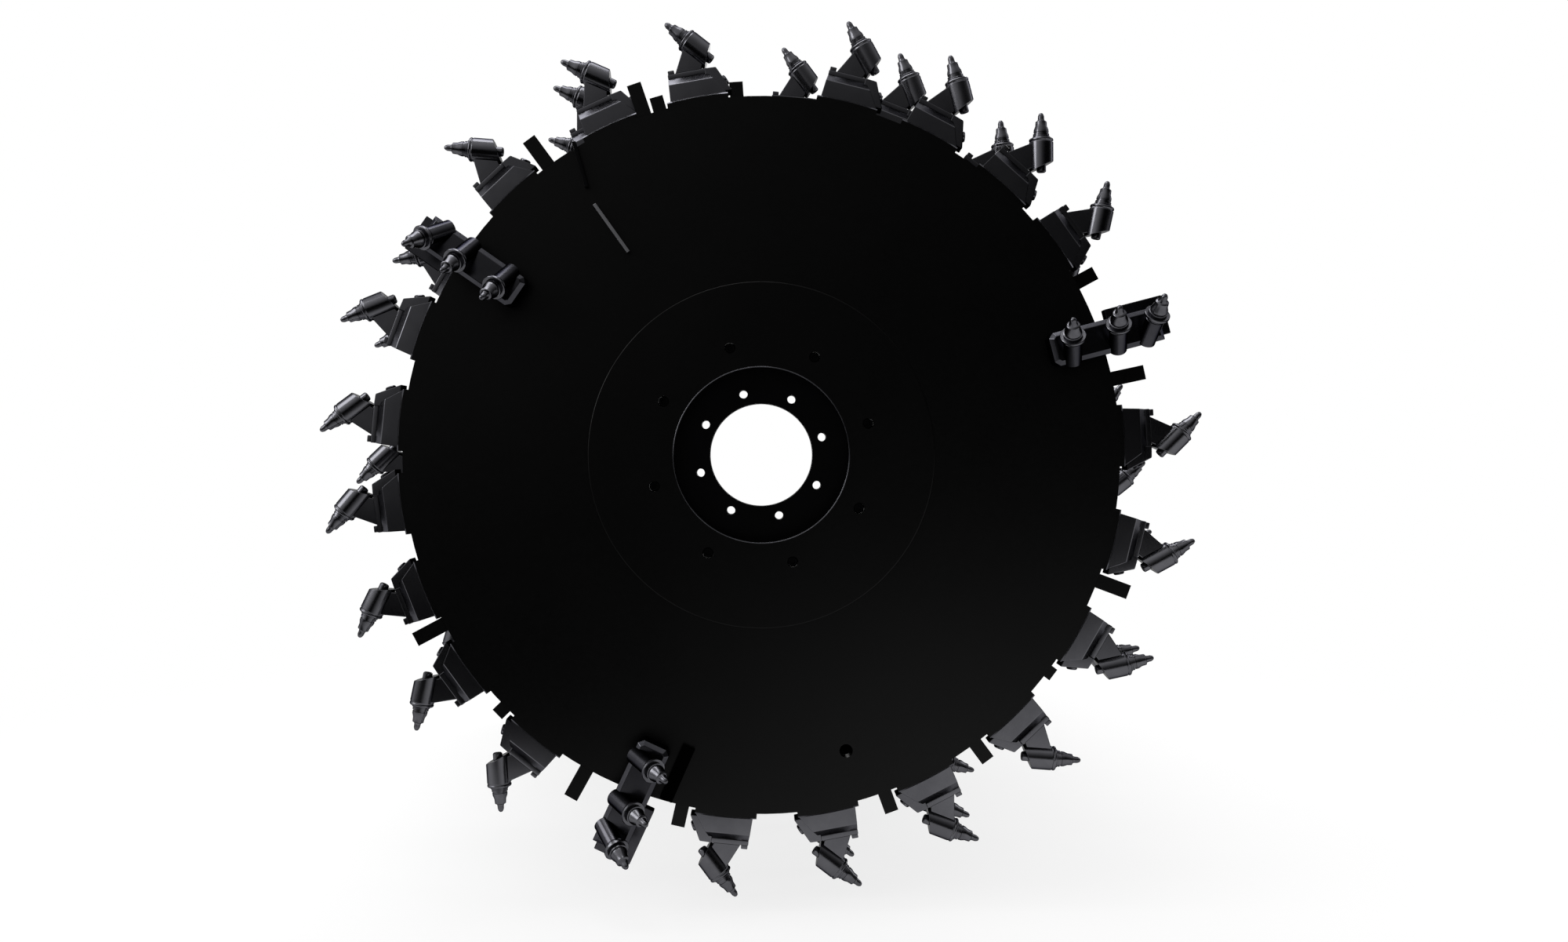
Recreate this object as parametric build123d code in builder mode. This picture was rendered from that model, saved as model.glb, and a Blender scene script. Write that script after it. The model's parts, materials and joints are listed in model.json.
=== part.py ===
from build123d import *
import os
from math import cos, radians, sin

# Reclaimer cutting drum, millimetres.
# The drum's axis is Y. The bearing end faces -Y, the drive end faces +Y.
# The origin is the centre of the bearing flange's outer face, where the bearing hub seats.
# Angles run from +X towards +Z, the way the drum turns when it cuts.

os.makedirs("parts", exist_ok=True)

# Drum body
SHELL_RADIUS = 590.0
SHELL_WALL = 25.0
SHELL_LENGTH = 1950.0
PLATE_THICKNESS = 25.0
PLATE_LIP = 5.0
DRAIN_HOLE_RADIUS = 11.0
DRAIN_HOLE_ANGLE = -74.0
DRAIN_HOLE_FROM_RIM = 85.0

# Bearing end: a hub ring in the end plate, with the bearing flange bolted behind it
HUB_RING_RADIUS = 286.0
HUB_RING_STEP = 3.0
FLANGE_THICKNESS = 32.0
FLANGE_BORE_RADIUS = 86.0
SEAT_BOLT_RADIUS = 7.0
SEAT_BOLT_FROM_BORE = 20.0
HUB_OPENING_FROM_SEAT_BOLTS = 40.0
CLAMP_BOLT_RADIUS = 9.0
CLAMP_BOLT_FROM_OPENING = 38.5
FLANGE_RIM = 35.0
BOLT_COUNT = 8
BOLT_PHASE = 16.4

# Drive end: a heavy ring that the gearbox bolts to
DRIVE_PLATE_BAND = 195.0
DRIVE_RING_BAND = 160.0
DRIVE_RING_THICKNESS = 45.0
DRIVE_BOLT_FROM_OPENING = 60.0
DRIVE_BOLT_RADIUS = 13.0
DRIVE_BOLT_COUNT = 16

# Tabs that stand on the rim of each end plate: their angles
TAB_WIDTH = 24.0
RIM_TAB_HEIGHT = 55.0
RIM_TAB_ANGLES = [12.2, 109.0, 126.4, 208.1, 240.9, 339.5]
# Longer tabs on the shell: angle, gap between the ring's pads and the tab
SHELL_TAB_HEIGHT = 70.0
SHELL_TAB_THICKNESS = 25.0
SHELL_TABS = [
    (28.6, 4.0),
    (93.9, 46.0),
    (106.4, 50.0),
    (224.5, 70.0),
    (257.3, 4.0),
    (290.1, 6.0),
    (306.6, 4.0),
    (323.0, 100.0),
]

# Wear strips on the bearing end plate: angle, gap to the rim, length, width, tilt from radial
STRIP_THICKNESS = 10.0
FACE_STRIPS = [
    (126.0, 95.0, 97.0, 8.0, 0.0),
    (121.0, 8.0, 70.0, 16.0, 15.0),
    (255.3, 5.0, 92.0, 21.0, 0.0),
]

# Tool base: a pad that follows the shell, with a bevelled block on it that slants at its tail
SEAT_GAP = 0.2
PAD_LENGTH = 104.0
PAD_WIDTH = 68.0
PAD_HEIGHT = 24.0
BLOCK_WIDTH = 58.0
BLOCK_HEIGHT = 62.0
BLOCK_BEVEL = 12.0
BLOCK_NOSE_RAKE = 10.0
BLOCK_TAIL_SLANT = 28.0

# Tool holder: a foot on the block, a web and a sleeve that leans forward
FOOT_MARGIN = 2.0
FOOT_THICKNESS = 9.0
PICK_LEAN = 42.0
SLEEVE_RADIUS = 18.5
SLEEVE_LENGTH = 58.0
SLEEVE_LIFT = 3.0
SLEEVE_SETBACK = 21.0
SLEEVE_CUT = 25.0
WEB_THICKNESS = 24.0
WEB_TOE = 30.0
WEB_INSET = 6.0

# Pick: a collar, a tapered body and a pointed tip; the side bars' picks add a washer and a shank
COLLAR_RADIUS = 15.0
COLLAR_THICKNESS = 6.0
PICK_BODY_LENGTH = 24.0
PICK_NECK_RADIUS = 10.0
PICK_TIP_LENGTH = 14.0
SHANK_RADIUS = 10.0
SHANK_LENGTH = 42.0
WASHER_RADIUS = 21.0
WASHER_THICKNESS = 5.0
SHANK_FIT = 0.08
COLLAR_GAP = 0.3
BORE_RELIEF = 4.0

# Side bars on the end plates, each with a shoe behind its overhanging end
BAR_LENGTH = 184.0
BAR_WIDTH = 56.0
BAR_THICKNESS = 40.0
BAR_BEVEL = 7.0
BAR_LEAN = 40.0
BAR_SLEEVE_RADIUS = 15.0
BAR_SLEEVE_LENGTH = 40.0
BAR_SLEEVE_ROOT = -14.0
SHOE_THICKNESS = 22.0
SHOE_FROM_RIM = 17.0
SHOE_OVERHANG = 22.0
SHOE_LEAD = 17.0
SHOE_INSET = 8.0
# Angle, distance of the bar's middle beyond the plate's rim, turn away from radial
SIDE_BARS = [
    (18.9, 1.0, -4.4),
    (146.3, -27.0, -1.0),
    (249.2, 1.0, -4.1),
]
# The picks on one bar: place along the bar, outward tilt
BAR_PICKS = [
    (-62.0, 0.0),
    (14.0, 0.0),
    (66.0, 22.0),
]

# The ring of tools at each end of the shell: angles of the picks' tips
RING_CLEARANCE = 11.0
RING_TIP_ANGLES = [
    5.5, 38.3, 50.7, 64.7, 78.7, 102.6, 117.0, 135.9, 162.3, 176.9,
    190.2, 204.4, 218.6, 233.9, 266.8, 283.1, 299.5, 316.3, 332.7, 348.9,
]
# The tools behind the ring: angle of the pick's tip, gap between the ring's pads and this pad
ROW_TOOLS = [
    (71.0, 28.0),
    (333.0, 28.0),
    (119.5, 42.0),
    (152.3, 75.0),
    (300.0, 75.0),
    (54.4, 108.0),
    (283.0, 108.0),
    (87.0, 132.0),
    (184.0, 145.0),
    (164.3, 168.0),
    (349.0, 195.0),
    (359.0, 290.0),
]
# The middle tools: four spirals from each end, which lag towards the drum's middle
SPIRAL_STARTS = [9.0, 99.0, 189.0, 279.0]
SPIRAL_ROWS = 6
SPIRAL_PITCH = 97.0
SPIRAL_LAG = 23.0
SPIRAL_FROM_MIDDLE = 65.0

# Worked-out places
MIDDLE = Plane.XZ.offset(-SHELL_LENGTH / 2)
PLATE_RADIUS = SHELL_RADIUS + PLATE_LIP
SEAT_BOLT_CIRCLE = FLANGE_BORE_RADIUS + SEAT_BOLT_FROM_BORE
HUB_OPENING_RADIUS = SEAT_BOLT_CIRCLE + HUB_OPENING_FROM_SEAT_BOLTS
CLAMP_BOLT_CIRCLE = HUB_OPENING_RADIUS + CLAMP_BOLT_FROM_OPENING
FLANGE_RADIUS = CLAMP_BOLT_CIRCLE + FLANGE_RIM
DRIVE_RING_RADIUS = PLATE_RADIUS - DRIVE_PLATE_BAND
DRIVE_OPENING_RADIUS = DRIVE_RING_RADIUS - DRIVE_RING_BAND
DRIVE_BOLT_CIRCLE = DRIVE_OPENING_RADIUS + DRIVE_BOLT_FROM_OPENING
FOOT_TOP = BLOCK_HEIGHT + FOOT_THICKNESS
RING_PLACE = RING_CLEARANCE + PAD_WIDTH / 2
RING_REAR = RING_CLEARANCE + PAD_WIDTH


def end_plane(y):
    """Plane square to the drum's axis at y, facing out of the bearing end."""
    return Plane(origin=(0, y, 0), x_dir=(1, 0, 0), z_dir=(0, -1, 0))


def radial(angle, radius, y):
    """Point on the drum at an angle, a radius and a place along the axis."""
    return Vector(radius * cos(radians(angle)), y, radius * sin(radians(angle)))


def save(builder, name):
    """Label a finished piece and write its file."""
    builder.part.label = name
    export_step(builder.part, f"parts/{name}.step")


# Drum shell
with BuildPart() as drum_shell:
    with BuildSketch(end_plane(0)):
        Circle(SHELL_RADIUS)
        Circle(SHELL_RADIUS - SHELL_WALL, mode=Mode.SUBTRACT)
    extrude(amount=-SHELL_LENGTH)
save(drum_shell, "drum_shell")

# Bearing end plate, with its drain hole
with BuildPart() as bearing_end_plate:
    with BuildSketch(end_plane(0)):
        Circle(PLATE_RADIUS)
        Circle(HUB_RING_RADIUS, mode=Mode.SUBTRACT)
        with PolarLocations(PLATE_RADIUS - DRAIN_HOLE_FROM_RIM, 1, DRAIN_HOLE_ANGLE):
            Circle(DRAIN_HOLE_RADIUS, mode=Mode.SUBTRACT)
    extrude(amount=PLATE_THICKNESS)
save(bearing_end_plate, "bearing_end_plate")

# Hub ring, a step proud of the bearing end plate
with BuildPart() as bearing_hub_ring:
    with BuildSketch(end_plane(0)):
        Circle(HUB_RING_RADIUS)
        Circle(HUB_OPENING_RADIUS, mode=Mode.SUBTRACT)
        with PolarLocations(CLAMP_BOLT_CIRCLE, BOLT_COUNT, BOLT_PHASE):
            Circle(CLAMP_BOLT_RADIUS, mode=Mode.SUBTRACT)
    extrude(amount=PLATE_THICKNESS + HUB_RING_STEP)
save(bearing_hub_ring, "bearing_hub_ring")

# Bearing flange behind the hub ring
with BuildPart() as bearing_flange:
    with BuildSketch(end_plane(0)):
        Circle(FLANGE_RADIUS)
        Circle(FLANGE_BORE_RADIUS, mode=Mode.SUBTRACT)
        with PolarLocations(SEAT_BOLT_CIRCLE, BOLT_COUNT, BOLT_PHASE):
            Circle(SEAT_BOLT_RADIUS, mode=Mode.SUBTRACT)
        with PolarLocations(CLAMP_BOLT_CIRCLE, BOLT_COUNT, BOLT_PHASE):
            Circle(CLAMP_BOLT_RADIUS, mode=Mode.SUBTRACT)
    extrude(amount=-FLANGE_THICKNESS)
save(bearing_flange, "bearing_flange")

# Drive end plate
with BuildPart() as drive_end_plate:
    with BuildSketch(end_plane(SHELL_LENGTH)):
        Circle(PLATE_RADIUS)
        Circle(DRIVE_RING_RADIUS, mode=Mode.SUBTRACT)
    extrude(amount=-PLATE_THICKNESS)
save(drive_end_plate, "drive_end_plate")

# Drive ring, flush with the drive end plate's outer face
with BuildPart() as drive_ring:
    with BuildSketch(end_plane(SHELL_LENGTH + PLATE_THICKNESS)):
        Circle(DRIVE_RING_RADIUS)
        Circle(DRIVE_OPENING_RADIUS, mode=Mode.SUBTRACT)
        with PolarLocations(DRIVE_BOLT_CIRCLE, DRIVE_BOLT_COUNT):
            Circle(DRIVE_BOLT_RADIUS, mode=Mode.SUBTRACT)
    extrude(amount=DRIVE_RING_THICKNESS)
save(drive_ring, "drive_ring")

# Tabs, curved underneath to sit on the end plate's rim or on the shell
with BuildPart() as bearing_rim_tabs:
    with BuildSketch(end_plane(0)):
        for angle in RIM_TAB_ANGLES:
            with PolarLocations(PLATE_RADIUS, 1, angle):
                Rectangle(2 * RIM_TAB_HEIGHT, TAB_WIDTH)
        Circle(PLATE_RADIUS + SEAT_GAP, mode=Mode.SUBTRACT)
    extrude(amount=PLATE_THICKNESS)
    for angle, ring_gap in SHELL_TABS:
        with BuildSketch(end_plane(RING_REAR + ring_gap)):
            with PolarLocations(SHELL_RADIUS, 1, angle):
                Rectangle(2 * SHELL_TAB_HEIGHT, TAB_WIDTH)
            Circle(SHELL_RADIUS + SEAT_GAP, mode=Mode.SUBTRACT)
        extrude(amount=-SHELL_TAB_THICKNESS)
save(bearing_rim_tabs, "bearing_rim_tabs")

with BuildPart() as drive_rim_tabs:
    mirror(bearing_rim_tabs.part, about=MIDDLE)
save(drive_rim_tabs, "drive_rim_tabs")

# Wear strips on the bearing end plate
with BuildPart() as bearing_face_strips:
    with BuildSketch(end_plane(-PLATE_THICKNESS)):
        for angle, rim_gap, length, width, tilt in FACE_STRIPS:
            with PolarLocations(PLATE_RADIUS - rim_gap - length / 2, 1, angle):
                Rectangle(length, width, rotation=tilt)
    extrude(amount=STRIP_THICKNESS)
save(bearing_face_strips, "bearing_face_strips")

# One tool at the origin: x forward, z away from the shell
lean = Vector(sin(radians(PICK_LEAN)), 0, cos(radians(PICK_LEAN)))
belly = Vector(lean.Z, 0, -lean.X) * SLEEVE_RADIUS
heel = Vector(-SLEEVE_SETBACK, 0, FOOT_TOP + SLEEVE_LIFT)
sleeve_mouth = heel - belly + lean * SLEEVE_LENGTH
web_front = sleeve_mouth + belly * 0.5 - lean * WEB_INSET
web_rear = heel - belly + lean * (SLEEVE_RADIUS - WEB_INSET)
cut_angle = radians(PICK_LEAN + SLEEVE_CUT)

with BuildPart() as tool_base:
    with BuildSketch(Plane.XZ):
        Rectangle(PAD_LENGTH, 2 * PAD_HEIGHT)
        with Locations((0, -SHELL_RADIUS)):
            Circle(SHELL_RADIUS + SEAT_GAP, mode=Mode.SUBTRACT)
    extrude(amount=PAD_WIDTH / 2, both=True)
    with BuildSketch(Plane.XZ):
        with BuildLine():
            Polyline(
                (-PAD_LENGTH / 2, PAD_HEIGHT),
                (PAD_LENGTH / 2, PAD_HEIGHT),
                (PAD_LENGTH / 2 - BLOCK_NOSE_RAKE, BLOCK_HEIGHT),
                (BLOCK_TAIL_SLANT - PAD_LENGTH / 2, BLOCK_HEIGHT),
                close=True,
            )
        make_face()
    extrude(amount=BLOCK_WIDTH / 2, both=True)
    chamfer(tool_base.faces().sort_by(Axis.Z)[-1].edges().filter_by(Axis.X), BLOCK_BEVEL)

with BuildPart() as tool_holder:
    with BuildSketch(Plane(origin=sleeve_mouth, x_dir=(0, 1, 0), z_dir=lean)):
        Circle(SLEEVE_RADIUS)
    extrude(amount=-SLEEVE_LENGTH)
    split(bisect_by=Plane(origin=heel, x_dir=(0, 1, 0), z_dir=(sin(cut_angle), 0, cos(cut_angle))))
    with BuildSketch(Plane.XZ):
        with BuildLine():
            Polyline(
                (WEB_INSET - SLEEVE_SETBACK, FOOT_TOP),
                (WEB_TOE, FOOT_TOP),
                (web_front.X, web_front.Z),
                (web_rear.X, web_rear.Z),
                close=True,
            )
        make_face()
    extrude(amount=WEB_THICKNESS / 2, both=True)
    with BuildSketch(Plane.XY.offset(BLOCK_HEIGHT)):
        top_length = PAD_LENGTH - BLOCK_NOSE_RAKE - BLOCK_TAIL_SLANT
        top_width = BLOCK_WIDTH - 2 * BLOCK_BEVEL
        with Locations(((BLOCK_TAIL_SLANT - BLOCK_NOSE_RAKE) / 2, 0)):
            Rectangle(top_length - 2 * FOOT_MARGIN, top_width - 2 * FOOT_MARGIN)
    extrude(amount=FOOT_THICKNESS)

# Pick without its shank, standing on the sleeve's mouth
with BuildPart() as tool_pick:
    with BuildSketch(Plane.XZ):
        with BuildLine():
            neck_height = COLLAR_THICKNESS + PICK_BODY_LENGTH
            Polyline(
                (0, 0),
                (COLLAR_RADIUS, 0),
                (COLLAR_RADIUS, COLLAR_THICKNESS),
                (PICK_NECK_RADIUS, neck_height),
                (0, neck_height + PICK_TIP_LENGTH),
                close=True,
            )
        make_face()
    revolve(axis=Axis.Z)

# Pick with the washer and the shank that turn in a side bar's sleeve
with BuildPart() as side_pick:
    add(tool_pick.part)
    with BuildSketch():
        Circle(WASHER_RADIUS)
    extrude(amount=WASHER_THICKNESS)
    with BuildSketch():
        Circle(SHANK_RADIUS)
    extrude(amount=-SHANK_LENGTH)


def tool_location(tip_angle, y):
    """Place of one tool on the shell, so that its pick's tip is at the given angle."""
    tip = sleeve_mouth + lean * (COLLAR_THICKNESS + PICK_BODY_LENGTH + PICK_TIP_LENGTH)
    angle = tip_angle - Vector(SHELL_RADIUS + tip.Z, 0, 0).get_angle(
        Vector(SHELL_RADIUS + tip.Z, tip.X, 0)
    )
    return Plane(
        origin=radial(angle, SHELL_RADIUS, y),
        x_dir=radial(angle + 90, 1, 0),
        z_dir=radial(angle, 1, 0),
    ).location


def tool_nodes(group, places):
    """Write one group's bases, holders and picks, and return the three pieces by name."""
    pick_seat = Plane(origin=sleeve_mouth, x_dir=(0, 1, 0), z_dir=lean).location
    pieces = {
        "bases": (tool_base.part, places),
        "holders": (tool_holder.part, places),
        "picks": (tool_pick.part, [place * pick_seat for place in places]),
    }
    made = {}
    for piece_name, (piece, piece_places) in pieces.items():
        with BuildPart() as node:
            with Locations(*piece_places):
                add(piece, clean=False)
        save(node, f"{group}_{piece_name}")
        made[piece_name] = node.part
    return made


def mirrored_nodes(group, pieces):
    """Write the drive end's copies of a group at the bearing end."""
    for piece_name, piece in pieces.items():
        with BuildPart() as node:
            mirror(piece, about=MIDDLE)
        save(node, f"{group}_{piece_name}")


# Tools in a ring at each end
ring_places = [tool_location(angle, RING_PLACE) for angle in RING_TIP_ANGLES]
mirrored_nodes("drive_ring_tool", tool_nodes("bearing_ring_tool", ring_places))

# Tools in the rows behind each ring
row_places = [tool_location(angle, RING_REAR + gap + PAD_WIDTH / 2) for angle, gap in ROW_TOOLS]
mirrored_nodes("drive_row_tool", tool_nodes("bearing_row_tool", row_places))

# Tools in the middle, on spirals that meet as a chevron
middle_places = []
for start_angle in SPIRAL_STARTS:
    for row in range(SPIRAL_ROWS):
        from_middle = SPIRAL_FROM_MIDDLE + row * SPIRAL_PITCH
        for side in (-1, 1):
            y = SHELL_LENGTH / 2 + side * from_middle
            middle_places.append(tool_location(start_angle + row * SPIRAL_LAG, y))
tool_nodes("middle_tool", middle_places)


def bar_mouth(face, along, tilt):
    """Plane at the mouth of one sleeve on a side bar, its z along the pick."""
    rise = cos(radians(BAR_LEAN))
    axis = (
        face.x_dir * (rise * sin(radians(tilt)))
        + face.y_dir * sin(radians(BAR_LEAN))
        + face.z_dir * (rise * cos(radians(tilt)))
    )
    root = face.from_local_coords((along, BAR_SLEEVE_ROOT, BAR_THICKNESS))
    return Plane(origin=Vector(root) + axis * BAR_SLEEVE_LENGTH, x_dir=face.x_dir, z_dir=axis)


# Side bars with three sleeves each, and the picks that turn in them
for bar_number, (angle, beyond_rim, turn) in enumerate(SIDE_BARS, start=1):
    bar_face = Plane(
        origin=radial(angle, PLATE_RADIUS + beyond_rim, -PLATE_THICKNESS),
        x_dir=radial(angle + turn, 1, 0),
        z_dir=(0, -1, 0),
    )
    shoe_start = SHOE_FROM_RIM - beyond_rim
    shoe_end = BAR_LENGTH / 2 + SHOE_OVERHANG
    shoe_width = BAR_WIDTH + SHOE_LEAD - SHOE_INSET
    mouths = [bar_mouth(bar_face, along, tilt) for along, tilt in BAR_PICKS]
    with BuildPart() as side_bar:
        with BuildSketch(bar_face):
            Rectangle(BAR_LENGTH, BAR_WIDTH)
        extrude(amount=BAR_THICKNESS)
        chamfer(side_bar.faces().sort_by(Axis.Y)[0].edges(), BAR_BEVEL)
        with BuildSketch(bar_face):
            with Locations(((shoe_start + shoe_end) / 2, (SHOE_LEAD + SHOE_INSET) / 2)):
                Rectangle(shoe_end - shoe_start, shoe_width)
        extrude(amount=-SHOE_THICKNESS)
        with BuildSketch(*mouths):
            Circle(BAR_SLEEVE_RADIUS)
        extrude(amount=-BAR_SLEEVE_LENGTH - BAR_SLEEVE_RADIUS)
        with BuildSketch(*mouths):
            Circle(SHANK_RADIUS + SHANK_FIT)
        extrude(amount=-SHANK_LENGTH - BORE_RELIEF, mode=Mode.SUBTRACT)
    save(side_bar, f"bearing_side_bar_{bar_number}")
    with BuildPart() as drive_bar:
        mirror(side_bar.part, about=MIDDLE)
    save(drive_bar, f"drive_side_bar_{bar_number}")

    for pick_number, mouth in enumerate(mouths, start=1):
        with BuildPart() as bar_pick:
            with Locations(mouth.offset(COLLAR_GAP)):
                add(side_pick.part)
        save(bar_pick, f"bearing_side_pick_{bar_number}_{pick_number}")
        with BuildPart() as drive_pick:
            mirror(bar_pick.part, about=MIDDLE)
        save(drive_pick, f"drive_side_pick_{bar_number}_{pick_number}")
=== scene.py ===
"""Looks of the reclaimer cutting drum: modelled tools, side bars, welds, bolts, finishes and studio."""
import json
import logging
from collections.abc import Callable, Iterable, Iterator, Sequence
from contextlib import contextmanager
from dataclasses import dataclass, field
from enum import Enum
from math import atan2, cos, hypot, pi, radians, sin, sqrt, tan

import bmesh
import bpy
from mathutils import Matrix, Vector


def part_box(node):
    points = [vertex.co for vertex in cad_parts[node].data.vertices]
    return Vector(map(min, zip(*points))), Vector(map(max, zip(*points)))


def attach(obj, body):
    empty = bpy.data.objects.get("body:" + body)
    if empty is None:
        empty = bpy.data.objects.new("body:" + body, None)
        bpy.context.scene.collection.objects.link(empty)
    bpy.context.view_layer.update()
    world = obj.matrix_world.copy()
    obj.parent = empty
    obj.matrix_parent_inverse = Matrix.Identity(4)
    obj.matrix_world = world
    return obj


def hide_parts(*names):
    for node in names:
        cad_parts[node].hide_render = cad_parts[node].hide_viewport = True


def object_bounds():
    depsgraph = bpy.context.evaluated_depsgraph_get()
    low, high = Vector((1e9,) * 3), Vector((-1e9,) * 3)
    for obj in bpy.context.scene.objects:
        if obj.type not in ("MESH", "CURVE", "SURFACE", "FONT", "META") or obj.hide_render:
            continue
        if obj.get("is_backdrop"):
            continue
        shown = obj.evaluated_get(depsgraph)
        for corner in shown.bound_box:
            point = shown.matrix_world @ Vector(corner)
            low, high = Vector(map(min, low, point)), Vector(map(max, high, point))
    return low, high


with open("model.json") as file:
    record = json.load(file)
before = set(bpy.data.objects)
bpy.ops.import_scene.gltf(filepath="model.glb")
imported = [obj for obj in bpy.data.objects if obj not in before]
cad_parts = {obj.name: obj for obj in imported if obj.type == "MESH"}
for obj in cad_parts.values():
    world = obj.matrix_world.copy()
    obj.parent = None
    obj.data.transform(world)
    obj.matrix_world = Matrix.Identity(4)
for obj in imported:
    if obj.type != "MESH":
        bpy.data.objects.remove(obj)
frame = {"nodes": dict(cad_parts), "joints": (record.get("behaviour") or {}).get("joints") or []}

Piece = bpy.types.Object
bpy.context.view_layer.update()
MM = 0.001
DRUM = "drum"
WHITE = (1.0, 1.0, 1.0, 1.0)
log = logging.getLogger("cutting_drum")


class End(Enum):
    """The two ends of the drum, with the way each one faces along Y."""

    BEARING = -1
    DRIVE = 1


class Slot(Enum):
    """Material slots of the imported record."""

    PAINT = "black_paint"
    PICK = "pick_steel"
    MACHINED = "machined_steel"


# Colour and nodes


def linear(hex_colour: str) -> tuple[float, float, float, float]:
    """Turn an sRGB hex colour into linear RGBA.

    Args:
        hex_colour: Six hex digits, with or without a leading hash.

    Returns:
        The linear colour with an alpha of 1.
    """
    digits = hex_colour.lstrip("#")
    channels = [int(digits[i:i + 2], 16) / 255 for i in (0, 2, 4)]
    red, green, blue = [c / 12.92 if c <= 0.04045 else ((c + 0.055) / 1.055) ** 2.4 for c in channels]
    return red, green, blue, 1.0


def add_node(
    tree: bpy.types.NodeTree,
    kind: str,
    settings: dict[str, object] | None = None,
    links: dict[str | int, bpy.types.NodeSocket] | None = None,
    values: dict[str | int, object] | None = None,
) -> bpy.types.Node:
    """Add one node to a tree.

    Args:
        tree: The tree that gets the node.
        kind: The node's type.
        settings: Properties of the node itself.
        links: Sockets that feed the node's inputs.
        values: Constants set on the node's inputs.

    Returns:
        The new node.
    """
    node = tree.nodes.new(kind)
    for key, value in (settings or {}).items():
        setattr(node, key, value)
    for key, value in (values or {}).items():
        node.inputs[key].default_value = value
    for key, source in (links or {}).items():
        tree.links.new(source, node.inputs[key])
    return node


@dataclass(frozen=True)
class Finish:
    """One real surface finish, drawn with noise at real sizes.

    The colour drifts between two shades in large patches, a fine grain breaks up the gloss,
    and the same grain lifts the surface a little. Edge is how much a metal mirrors at a glancing angle.
    """

    name: str
    shade: str
    drift: str
    metallic: float
    specular: float
    rough_low: float
    rough_high: float
    patch_mm: float
    grain_mm: float
    lift_mm: float
    edge: float = 1.0

    def material(self) -> bpy.types.Material:
        """Build the finish's material once and hand the same one out again.

        Returns:
            The material for this finish.
        """
        made = bpy.data.materials.get(self.name)
        if made is not None:
            return made
        made = bpy.data.materials.new(self.name)
        made.use_nodes = True
        tree = made.node_tree
        tree.nodes.clear()
        place = add_node(tree, "ShaderNodeTexCoord").outputs["Object"]
        patch = add_node(
            tree, "ShaderNodeTexNoise",
            links={"Vector": place},
            values={"Scale": 1 / (self.patch_mm * MM), "Detail": 4.0, "Roughness": 0.6},
        )
        grain = add_node(
            tree, "ShaderNodeTexNoise",
            links={"Vector": place},
            values={"Scale": 1 / (self.grain_mm * MM), "Detail": 3.0},
        )
        shades = add_node(tree, "ShaderNodeValToRGB", links={"Fac": patch.outputs["Fac"]})
        shades.color_ramp.elements[0].position = 0.35
        shades.color_ramp.elements[0].color = linear(self.shade)
        shades.color_ramp.elements[1].position = 0.7
        shades.color_ramp.elements[1].color = linear(self.drift)
        rough = add_node(
            tree, "ShaderNodeMapRange",
            links={"Value": grain.outputs["Fac"]},
            values={"From Min": 0.3, "From Max": 0.7, "To Min": self.rough_low, "To Max": self.rough_high},
        )
        bump = add_node(
            tree, "ShaderNodeBump",
            links={"Height": grain.outputs["Fac"]},
            values={"Strength": 0.5, "Distance": self.lift_mm * MM},
        )
        shader = add_node(
            tree, "ShaderNodeBsdfPrincipled",
            links={
                "Base Color": shades.outputs["Color"],
                "Roughness": rough.outputs["Result"],
                "Normal": bump.outputs["Normal"],
            },
            values={
                "Metallic": self.metallic,
                "Specular IOR Level": self.specular,
                "Specular Tint": (self.edge, self.edge, self.edge, 1.0),
            },
        )
        add_node(tree, "ShaderNodeOutputMaterial", links={"Surface": shader.outputs["BSDF"]})
        return made


# Matt black primer on rolled plate: deep black with hardly any shine
PLATE_PAINT = Finish(
    "matt_black_primer", "#000000", "#010101", 0.0, 0.15, 0.3, 0.38, 160.0, 2.6, 0.03,
)
# Black primer that mirrors nothing, not even at a glancing angle: painted shade inside the shell, and a painted
# shadow on the wide strip beside a side bar
SHADE_PRIMER = Finish(
    "dead_matt_primer", "#010101", "#020202", 0.0, 0.0, 0.85, 0.95, 160.0, 2.6, 0.03,
)
# Blackened steel of the forged tools: near black, and bright only where it mirrors a light
TOOL_PAINT = Finish(
    "satin_blackened_steel", "#545458", "#5e5e62", 1.0, 0.5, 0.18, 0.25, 60.0, 1.6, 0.02, edge=0.15,
)
# The same steel on the side bars, painted darker: painted shade, as the bars show darker in the light that falls on
# them
BAR_SHADE_PAINT = Finish(
    "scaled_blackened_steel", "#38383c", "#424246", 1.0, 0.5, 0.18, 0.25, 60.0, 1.6, 0.02, edge=0.15,
)
# Blackened forged steel of the picks: dull metal with a fine scale
PICK_STEEL = Finish(
    "blackened_forged_steel", "#505054", "#5e5e62", 1.0, 0.5, 0.2, 0.28, 18.0, 0.9, 0.02, edge=0.15,
)
# Sintered tungsten carbide: a smooth dark grey metal
CARBIDE = Finish(
    "tungsten_carbide", "#4c4c50", "#58585c", 1.0, 0.5, 0.22, 0.32, 10.0, 0.6, 0.01, edge=0.15,
)
# Turned steel of the bolting faces: its rings are too fine to show, so a dull sheen stands for them
TURNED_STEEL = Finish(
    "oiled_turned_steel", "#020202", "#030304", 0.0, 0.05, 0.34, 0.44, 40.0, 1.2, 0.02,
)
# Grey metal ring on the hub opening's edge: a painted highlight along the edge's lit rim
HIGHLIGHT_EDGE_STEEL = Finish(
    "bare_turned_edge", "#4a4a4e", "#5c5c60", 1.0, 0.5, 0.22, 0.34, 30.0, 1.0, 0.01,
)
# Light grey steel on the thin strip at the upper left: a painted highlight for the strip's lit edge
HIGHLIGHT_STRIP_STEEL = Finish(
    "bare_wear_steel", "#8e8e92", "#9c9ca0", 1.0, 0.5, 0.2, 0.3, 40.0, 1.2, 0.02,
)
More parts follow.
